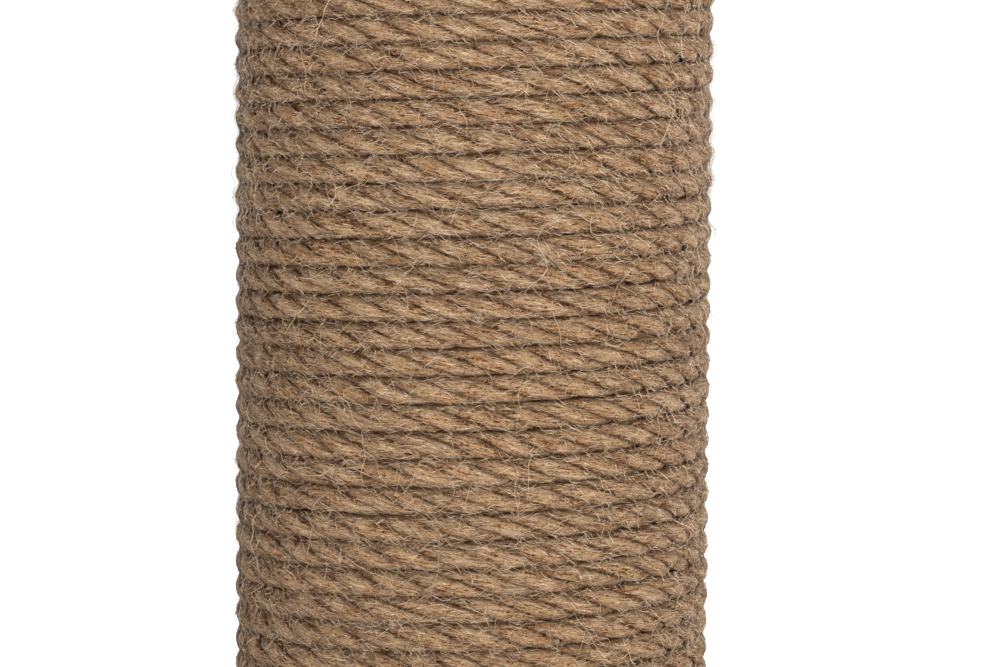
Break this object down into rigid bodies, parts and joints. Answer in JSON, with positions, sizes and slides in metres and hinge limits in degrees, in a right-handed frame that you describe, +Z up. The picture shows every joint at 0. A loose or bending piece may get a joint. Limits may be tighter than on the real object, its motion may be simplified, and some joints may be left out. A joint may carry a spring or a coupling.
{
  "type": "cat scratching post",
  "caption": "Free-standing cat scratching post: round column wound with brown jute rope on a square plush-covered base, with a padded round cap.",
  "frame": {"origin": "on the floor, in the middle of the four feet", "axes": "+Z up along the column; the front is -Y; +X to the right seen from the front"},
  "size_m": [0.3066, 0.3066, 0.4353],
  "materials": {
    "jute_rope": "three-strand twisted jute rope, natural, undyed",
    "plush_cover": "short-pile polyester plush, beige",
    "fibreboard": "medium-density fibreboard, sawn edges",
    "plug_wood": "softwood disc, sawn",
    "tube_board": "spiral-wound grey-brown cardboard",
    "zinc_steel": "zinc-plated steel",
    "staple_steel": "galvanised staple wire",
    "foot_rubber": "moulded black rubber",
    "foam": "open-cell polyurethane foam"
  },
  "bodies": {
    "root": {"base_board": "fibreboard", "base_cover": "plush_cover", "base_cover_staples": "staple_steel", "foot_front_left": "foot_rubber", "foot_front_right": "foot_rubber", "foot_back_left": "foot_rubber", "foot_back_right": "foot_rubber", "foot_screws": "zinc_steel", "base_washer": "zinc_steel", "base_bolt": "zinc_steel", "post_core": "tube_board", "bottom_plug": "plug_wood", "bottom_pronged_nut": "zinc_steel", "bottom_plug_brads": "zinc_steel", "rope_winding_lower": "jute_rope", "rope_winding_middle": "jute_rope", "rope_winding_upper": "jute_rope", "rope_start_staple": "staple_steel", "rope_end_staple": "staple_steel", "top_plug": "plug_wood", "top_pronged_nut": "zinc_steel", "top_plug_brads": "zinc_steel", "cap_board": "fibreboard", "cap_washer": "zinc_steel", "cap_bolt": "zinc_steel", "cap_foam": "foam", "cap_cover": "plush_cover", "cap_cover_staples": "staple_steel"}
  },
  "joints": []
}
